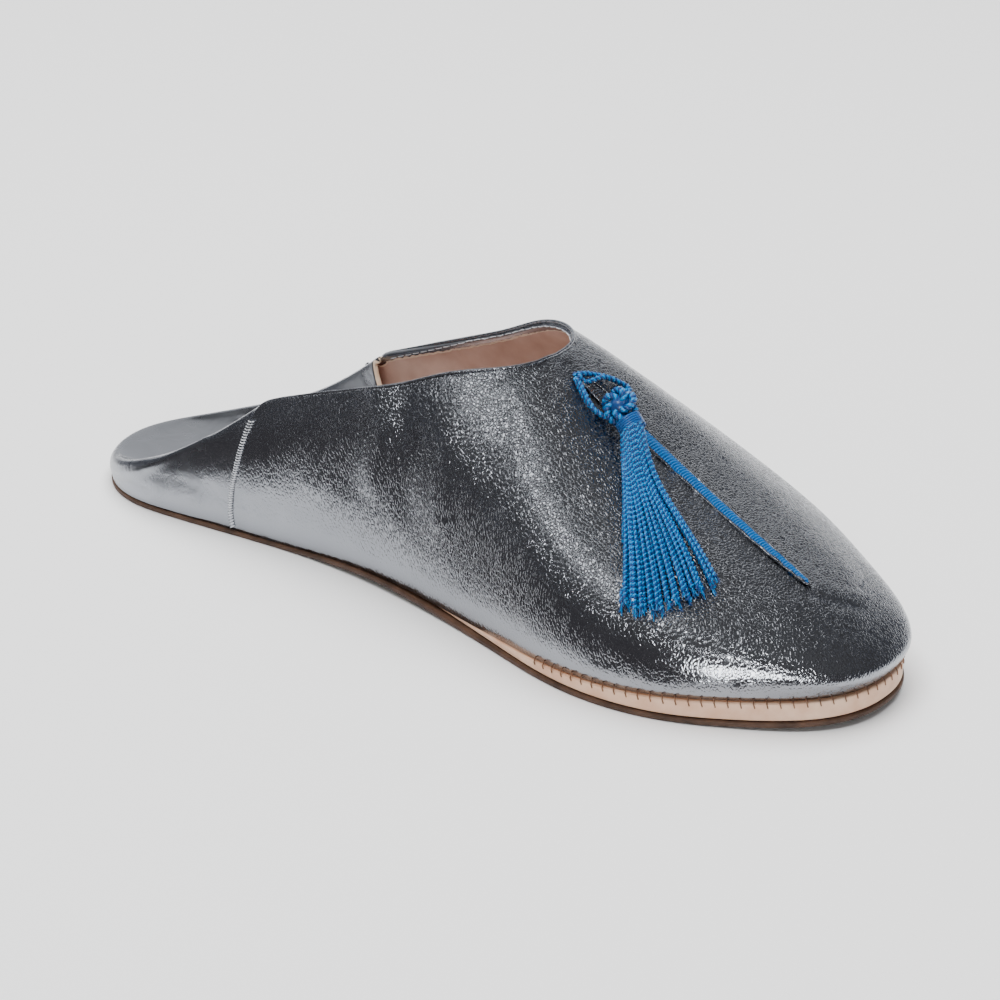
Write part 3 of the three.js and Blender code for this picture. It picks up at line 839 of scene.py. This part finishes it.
# Each strand's cut end bursts into fine hairs
hair = {
    "thread": 0.11,
    "count": 9,
    "spread": 0.45,
    "length": (0.9, 2.0),
    "least": 0.2,
    "lifted": 0.25,
    "rootAside": 0.3,
    "rootBack": 0.6,
    "bend": 0.1,
}
fringe = CordMaker("tasselFringe", hair["thread"] * mm, [highlightPlyBlue, shadePlyBlue], 0)
for end, heading in strandEnds:
    for _ in range(hair["count"]):
        stray = Vector([chance.uniform(-1, 1) for _ in range(3)])
        tip = end + (heading + stray * hair["spread"]) * chance.uniform(*hair["length"]) * mm
        if above(tip, 0)[1] < hair["least"] * mm:
            tip, _ = above(tip, hair["lifted"] * mm)
        start = end + stray * hair["rootAside"] * mm - heading * hair["rootBack"] * mm
        middle = end.lerp(tip, 0.5) + stray * hair["bend"] * mm
        # Each hair takes the painted-highlight blue or the painted-shade blue at random
        fringe.line([start, middle, tip], finish=chance.randrange(2))
addPiece("tasselFringe", fringe.mesh("tasselFringe"), [], "tassel_cord")
print("skirt built")

# The knot is the cord tied on itself: it winds round a ring that lies across the tassel's axis, over a heart
knotCord = {
    "ply": 0.58,
    "plyOffset": 0.9,
    "pitch": 2.0,
    "spacing": 0.4,
    "ring": 2.5,
    "longer": 1.12,
    "tube": 1.55,
    "taller": 1.25,
    "around": 3,
    "through": 5,
    "points": 90,
    "heart": 2.9,
}
route = []
for k in range(knotCord["points"] + 1):
    a = 2 * math.pi * k / knotCord["points"]
    big, small = knotCord["around"] * a, knotCord["through"] * a
    reach = knotCord["ring"] + knotCord["tube"] * math.cos(small)
    flat = knotAside * math.cos(big) * reach + knotAxis * math.sin(big) * reach * knotCord["longer"]
    rise = knotUp * math.sin(small) * knotCord["tube"] * knotCord["taller"]
    route.append(knotPlace + (flat + rise) * mm)
head = CordMaker("tasselHead", knotCord["ply"] * mm, [highlightPlyBlue, shadePlyBlue])
plyOffset = knotCord["ply"] * knotCord["plyOffset"] * mm
head.twisted(route, plyOffset, knotCord["pitch"] * mm, knotCord["spacing"] * mm)
headMesh = head.mesh("tasselHead")
heart = bmesh.new()
heart.from_mesh(headMesh)
made = bmesh.ops.create_icosphere(heart, subdivisions=3, radius=knotCord["heart"] * mm)
# The heart takes the painted-shade blue: a dark core that stands in for the shade deep inside the knot
for face in {face for vert in made["verts"] for face in vert.link_faces}:
    face.material_index = 1
bmesh.ops.translate(heart, verts=made["verts"], vec=knotPlace)
heart.to_mesh(headMesh)
heart.free()
smoothShaded(headMesh)
addPiece("tasselHead", headMesh, [], "tassel_cord", "tassel_knot")

neck = {"thread": 0.34, "turns": 5, "start": 4.3, "length": 3.2, "wide": 3.35, "high": 2.75, "points": 24}
binding = CordMaker("tasselBinding", neck["thread"] * mm, [bindingBlue])
wound = []
for k in range(neck["turns"] * neck["points"] + 1):
    a = 2 * math.pi * k / neck["points"]
    along = neck["start"] + neck["length"] * k / (neck["turns"] * neck["points"])
    place = knotAxis * along + knotAside * math.cos(a) * neck["wide"] + knotUp * math.sin(a) * neck["high"]
    wound.append(knotPlace + place * mm)
binding.line(wound)
addPiece("tasselBinding", binding.mesh("tasselBinding"), [], "tassel_cord")

# The loop comes out of the slit's top as two doubled cords that part round an eye and meet in the knot
loop = {
    "far": ((573, 377), (584, 376), (598, 378), (612, 382), (624, 390), (628, 398)),
    "near": ((573, 381), (578, 391), (584, 402), (592, 412), (603, 418), (612, 416)),
    "doubled": (
        {"rise": 0.95, "asideX": 0, "asideY": 0},
        {"rise": 1.75, "asideX": 1.6, "asideY": 3.6},
    ),
    "ply": 0.45,
    "plyOffset": 0.9,
    "spacing": 0.4,
}
eye = CordMaker("tasselEye", loop["ply"] * mm, [highlightPlyBlue, shadePlyBlue])
plyOffset = loop["ply"] * loop["plyOffset"] * mm
for name in ("far", "near"):
    for cord in loop["doubled"]:
        route = []
        for x, y in loop[name]:
            place, normal = onLeather(x + cord["asideX"], y + cord["asideY"])
            route.append(place + normal * cord["rise"] * mm)
        route[-1] = route[-1].lerp(knotPlace, 0.5)
        eye.twisted(route, plyOffset, tassel["pitch"] * mm, loop["spacing"] * mm, cord["asideX"])
addPiece("tasselEye", eye.mesh("tasselEye"), [], "tassel_cord", "tassel_loop")
print("tassel built")

# The slit's inlay: a ribbed silk strip, one rib beside the next, behind a tongue of the turned leather
inlay = {
    "rib": 0.42,
    "pitch": 0.74,
    "slant": 0.9,
    "flatten": 0.42,
    "below": 0.02,
    "samples": 161,
    "ribPoints": 7,
    "endGaps": (0.5, 0.3),
    "start": 43.5,
    "castHeight": 200,
}
inlayLow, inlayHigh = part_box("slit_inlay")
inlayTree = surfaceTree(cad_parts["slit_inlay"].data)
ribs = CordMaker("slitRibs", inlay["rib"] * mm, [ribBlue])
tongue = CordMaker("slitTongue", inlay["rib"] * mm, [silverEdge])


def acrossInlay(x):
    hits = []
    for k in range(inlay["samples"]):
        y = inlayLow.y + (inlayHigh.y - inlayLow.y) * k / (inlay["samples"] - 1)
        place, _, _, _ = inlayTree.ray_cast(Vector((x, y, inlay["castHeight"] * mm)), down)
        if place:
            hits.append(place)
    return hits


gapBefore, gapAfter = inlay["endGaps"]
x = inlayLow.x + gapBefore * mm
while x < inlayHigh.x - gapAfter * mm:
    hits = acrossInlay(x)
    if len(hits) > 2:
        rib = []
        last = inlay["ribPoints"] - 1
        for k in range(last + 1):
            share = k / last
            sink = inlay["below"] + inlay["flatten"] * math.sin(math.pi * share)
            offset = Vector((inlay["slant"] * (share - 0.5), 0, -sink))
            rib.append(hits[round(k * (len(hits) - 1) / last)] + offset * mm)
        (ribs if x > inlay["start"] * mm else tongue).line(rib)
    x += inlay["pitch"] * mm
addPiece("slitRibs", ribs.mesh("slitRibs"), [], "inlay_cord", "slit_inlay")
addPiece("slitTongue", tongue.mesh("slitTongue"), [], "upper_leather")

# The leather is turned over a thread along the slit, which gives it a bright, uneven lip
lip = {
    "radius": 0.42,
    "aside": 0.3,
    "rise": 0.22,
    "swells": ({"size": 0.1, "rate": 1.9, "phase": 0}, {"size": 0.1, "rate": 4.1, "phase": 1}),
    "uneven": ({"size": 0.22, "rate": 97}, {"size": 0.15, "rate": 211}),
    "before": 4,
    "leastPoints": 40,
}


def lipThickness(share):
    return 1 + sum(wave["size"] * math.sin(wave["rate"] * share) for wave in lip["uneven"])


lips = CordMaker("slitLips", lip["radius"] * mm, [silverEdge])
for line in edgeLines:
    if min(p.x for p in line) < inlayLow.x - lip["before"] * mm or len(line) <= lip["leastPoints"]:
        continue
    raised = []
    middleLine = sum(line, Vector()) / len(line)
    span = max(line, key=lambda p: p.x) - min(line, key=lambda p: p.x)
    for k, point in enumerate(line + line[:1]):
        swell = sum(wave["size"] * math.sin(wave["rate"] * k + wave["phase"]) for wave in lip["swells"])
        onMiddle = middleLine + span * ((point - middleLine).dot(span) / span.length_squared)
        aside = (point - onMiddle).normalized()
        raised.append(point + (aside * lip["aside"] + Vector((0, 0, lip["rise"] + swell))) * mm)
    lips.line(raised, lipThickness)
addPiece("slitLips", lips.mesh("slitLips"), [], "upper_leather")
print("inlay built")


# Places a pitch apart along a line, each with the line's heading there
def pace(points, pitch):
    places = []
    left = pitch / 2
    for start, end in zip(points, points[1:]):
        span = (end - start).length
        while left <= span:
            places.append((start.lerp(end, left / span), (end - start).normalized()))
            left += pitch
        left -= span
    return places


# The side seams: a narrow raised welt, whipped over with fine thread. The medial one lies at these pixels of
# the photo, and the lateral one straight across from it.
sideSeam = {
    "pixels": (
        (262, 403), (252, 420), (245, 437), (240, 453), (236, 470), (232, 490), (231, 510), (233, 526),
    ),
    "castFrom": 200,
    "points": 60,
    "cord": 0.7,
    "lift": 0.12,
    "thread": 0.2,
    "pitch": 0.85,
    "halfWidth": 0.75,
    "slant": 0.35,
    "rise": 0.62,
    "shares": (-1, -0.6, 0, 0.6, 1),
}
medialSeam = [place for place, _ in (onLeather(x, y) for x, y in sideSeam["pixels"]) if place]
lateralSeam = []
for place in medialSeam:
    start = Vector((place.x, sideSeam["castFrom"] * mm, place.z))
    across, _, _, _ = leatherTree.ray_cast(start, Vector((0, -1, 0)))
    if across:
        lateralSeam.append(across)
welt = CordMaker("sideWelts", sideSeam["cord"] * mm, [silverEdge], 2)
sideThread = CordMaker("sideStitches", sideSeam["thread"] * mm, [greyThread])
for seam in (medialSeam, lateralSeam):
    ridge = smoothLine(seam, sideSeam["points"])
    welt.line([above(point, sideSeam["lift"] * mm)[0] for point in ridge])
    for place, heading in pace(ridge, sideSeam["pitch"] * mm):
        _, normal, _, _ = leatherTree.find_nearest(place)
        across = heading.cross(normal).normalized()
        stitch = []
        for share in sideSeam["shares"]:
            rise = sideSeam["rise"] * (1 - share * share) + sideSeam["lift"]
            reach = across * share * sideSeam["halfWidth"] + heading * share * sideSeam["slant"]
            stitch.append(place + (reach + normal * rise) * mm)
        sideThread.line(stitch)
addPiece("sideWelts", welt.mesh("sideWelts"), [], "upper_leather")
addPiece("sideStitches", sideThread.mesh("sideStitches"), [], "upper_leather")

# Whip stitches over the rand's top edge, where the rand stands high enough to take them. Each comes out of
# the leather, over the edge and down the side, and they get longer towards the toe.
whipStitch = {
    "thread": 0.17,
    "pitch": 3.2,
    "start": 46,
    "middle": 40,
    "castOut": 5,
    "castDown": 1.2,
    "proud": 0.12,
    "slant": 0.35,
    "exit": {"out": 0.1, "up": 0.7},
    "over": {"share": 0.7, "up": 0.12},
    "edgeDrop": 0.35,
    "endDrop": 0.2,
    "length": 1.35,
    "least": 0.2,
    "growth": 0.009,
}
randTree = surfaceTree(randMesh)
whip = CordMaker("randStitches", whipStitch["thread"] * mm, [brownThread])
up = -down * mm
for place, heading in pace(featherLine + featherLine[:1], whipStitch["pitch"] * mm):
    if place.x < whipStitch["start"] * mm:
        continue
    out = down.cross(heading)
    out = Vector((out.x, out.y, 0)).normalized()
    if out.dot(Vector((place.x - whipStitch["middle"] * mm, place.y, 0))) < 0:
        out = -out
    start = place + out * whipStitch["castOut"] * mm - up * whipStitch["castDown"]
    edge, _, _, _ = randTree.ray_cast(start, -out)
    if not edge:
        continue
    reach = (edge - place).dot(out) + whipStitch["proud"] * mm
    length = whipStitch["length"] * min(1, whipStitch["least"] + whipStitch["growth"] * place.x / mm)
    slant = heading * whipStitch["slant"] * mm
    leaves, over = whipStitch["exit"], whipStitch["over"]
    whip.line(
        [
            place + up * leaves["up"] + out * leaves["out"] * mm - slant,
            place + out * (reach * over["share"]) + up * over["up"],
            place + out * reach - up * whipStitch["edgeDrop"],
            place + out * reach - up * (whipStitch["endDrop"] + length) + slant,
        ]
    )
addPiece("randStitches", whip.mesh("randStitches"), [], "rand_leather")

# The row of stitches that holds the turned-in edge along the topline, seen inside on the far side, and the
# edge itself, turned over a thread that makes a thin roll
topSeam = {
    "thread": 0.13,
    "pitch": 3.0,
    "stitch": 2.1,
    "inset": 1.3,
    "inside": 1.4,
    "further": 1.5,
    "lift": 0.18,
    "dive": 0.3,
    "shares": (-0.5, -0.3, 0, 0.3, 0.5),
    "break": 8,
    "middle": -20,
}
rolled = {"radius": 0.5, "inward": 0.35, "taper": 10, "thinnest": 0.1}
toplineRuns = []
for point in opening:
    if point.z < toplineHeight + upper["toplineMargin"] * mm:
        continue
    if not toplineRuns or (point - toplineRuns[-1][-1]).length > topSeam["break"] * mm:
        toplineRuns.append([])
    toplineRuns[-1].append(point)


def fromMiddle(point):
    return Vector((point.x - topSeam["middle"] * mm, point.y, 0)).normalized()


def rollThickness(share):
    return max(rolled["thinnest"], min(1, rolled["taper"] * min(share, 1 - share)))


toplineThread = CordMaker("toplineStitches", topSeam["thread"] * mm, [greyThread])
roll = CordMaker("toplineRoll", rolled["radius"] * mm, [silverEdge], 2)
for line in toplineRuns:
    roll.line([point - fromMiddle(point) * rolled["inward"] * mm for point in line], rollThickness)
    for place, heading in pace(line, topSeam["pitch"] * mm):
        outward = fromMiddle(place)
        inside = place - outward * topSeam["inside"] * mm - up * topSeam["inset"]
        stitch = []
        for share in topSeam["shares"]:
            point = inside + heading * share * topSeam["stitch"] * mm
            found, out, _, _ = leatherTree.find_nearest(point - outward * topSeam["further"] * mm)
            stitch.append(found + out * (topSeam["lift"] - topSeam["dive"] * abs(share)) * mm)
        toplineThread.line(stitch)
addPiece("toplineRoll", roll.mesh("toplineRoll"), [], "upper_leather")
addPiece("toplineStitches", toplineThread.mesh("toplineStitches"), [], "upper_leather")
print("sewing done", len(toplineRuns))

# A plain pale floor
paper = {
    "colour": "#F4F4F4",
    "size": 6.0,
    "grain": 900.0,
    "bump": (0.05, 0.1),
    "roughness": 0.9,
    "sheen": 0.1,
}
floorForm = bmesh.new()
bmesh.ops.create_grid(floorForm, x_segments=1, y_segments=1, size=paper["size"] / 2)
floorMesh = bpy.data.meshes.new("floor")
floorForm.to_mesh(floorMesh)
floorForm.free()
floor = bpy.data.objects.new("floor", floorMesh)
scene.collection.objects.link(floor)
floorPaint, floorTree, paperPlace = newMaterial("palePaper")
paperGrain = addNode(floorTree, "TexNoise", {"Scale": paper["grain"]}, {"Vector": paperPlace}).outputs["Fac"]
finishMaterial(
    floorTree,
    {
        "Base Color": linear(paper["colour"]),
        "Roughness": paper["roughness"],
        "Specular IOR Level": paper["sheen"],
    },
    {"Normal": relief(floorTree, paperGrain, *paper["bump"])},
)
floorMesh.materials.append(floorPaint)


# Soft studio light, in metres and watts
def addLight(name, place, target, size, power, seenInGloss=True, lightsMatt=True):
    lightData = bpy.data.lights.new(name, "AREA")
    lightData.shape = "RECTANGLE"
    lightData.size, lightData.size_y = size
    lightData.energy = power
    light = bpy.data.objects.new(name, lightData)
    light.location = place
    light.rotation_euler = (Vector(target) - Vector(place)).to_track_quat("-Z", "Y").to_euler()
    light.visible_glossy = seenInGloss
    light.visible_diffuse = lightsMatt
    light.visible_camera = False
    scene.collection.objects.link(light)


addLight("overhead", (-0.1, 0.1, 1.6), (0, 0, 0), (1.6, 1.6), 64, seenInGloss=False)
addLight("softbox", (0.66, -0.93, 0.3), (0.109, -0.032, 0.018), (0.34, 0.12), 3.0)
addLight("window", (-0.1, -0.59, 1.12), (0.012, -0.024, 0.063), (0.6, 0.42), 3.0)
addLight("backSoftbox", (-0.93, 0.99, 0.76), (-0.1, 0, 0.01), (1.7, 1.2), 5.2)
addLight("sideSoftbox", (-1.03, -0.5, 0.96), (0, -0.03, 0.05), (0.5, 0.5), 1.1)
toeSpot = (0.1225, -0.055)
addLight("toeLamp", (*toeSpot, 0.004), (*toeSpot, 1), (0.045, 0.018), 0.032, lightsMatt=False)

# Black card low in front, seen only in the leather: it keeps the near side from mirroring bare floor all over
flag = {
    "height": 2,
    "felt": ("#2C2A2C", "#444244"),
    "fuzz": 40.0,
    "outline": (
        (-900, 400), (-300, 80), (-245, -20), (-228, -45), (-150, -38), (-98, -42), (-75, -48),
        (-60, -50), (-39, -47), (-14, -44), (4, -43), (18, -47), (48, -53), (71, -53), (91, -48),
        (108, -40), (128, -30), (160, -10), (900, 200), (900, -1500), (-900, -1500),
    ),
}
cardForm = bmesh.new()
cardForm.faces.new([cardForm.verts.new(Vector((x, y, flag["height"])) * mm) for x, y in flag["outline"]])
cardMesh = bpy.data.meshes.new("blackCard")
cardForm.to_mesh(cardMesh)
cardForm.free()
card = bpy.data.objects.new("blackCard", cardMesh)
scene.collection.objects.link(card)
cardPaint, cardTree, feltPlace = newMaterial("blackFelt")
fuzz = addNode(cardTree, "TexNoise", {"Scale": flag["fuzz"]}, {"Vector": feltPlace}).outputs["Fac"]
feltTone = colourBand(cardTree, fuzz, list(zip((0.0, 1.0), flag["felt"])))
finishMaterial(cardTree, {"Roughness": 1.0}, {"Base Color": feltTone})
cardMesh.materials.append(cardPaint)
card.visible_camera = card.visible_diffuse = card.visible_shadow = card.visible_transmission = False

# The room: a bright horizon that the low leather mirrors, a dim room over it, and a paler ceiling. The height
# leans towards the camera's side.
room = {
    "lean": (0.05, -0.175, 0.5),
    "lift": 0.175,
    "bands": [
        (0.06, (1, 1, 1, 1)),
        (0.085, (0.5, 0.52, 0.57, 1)),
        (0.115, (0.17, 0.18, 0.22, 1)),
        (0.4, (0.1, 0.098, 0.1, 1)),
        (0.65, (0.2, 0.2, 0.205, 1)),
        (1.0, (0.32, 0.32, 0.33, 1)),
    ],
}
world = bpy.data.worlds.new("studio")
scene.world = world
world.use_nodes = True
sky = world.node_tree
sky.nodes.clear()
direction = addNode(sky, "TexCoord").outputs["Generated"]
leaning = addNode(sky, "VectorMath", {"operation": "DOT_PRODUCT", 1: room["lean"]}, {0: direction})
brightness = colourBand(sky, maths(sky, "ADD", leaning.outputs["Value"], room["lift"]), room["bands"])
backdrop = addNode(sky, "Background", {"Strength": 1.0}, {"Color": brightness})
addNode(sky, "OutputWorld", links={"Surface": backdrop.outputs["Background"]})
print("stage set")
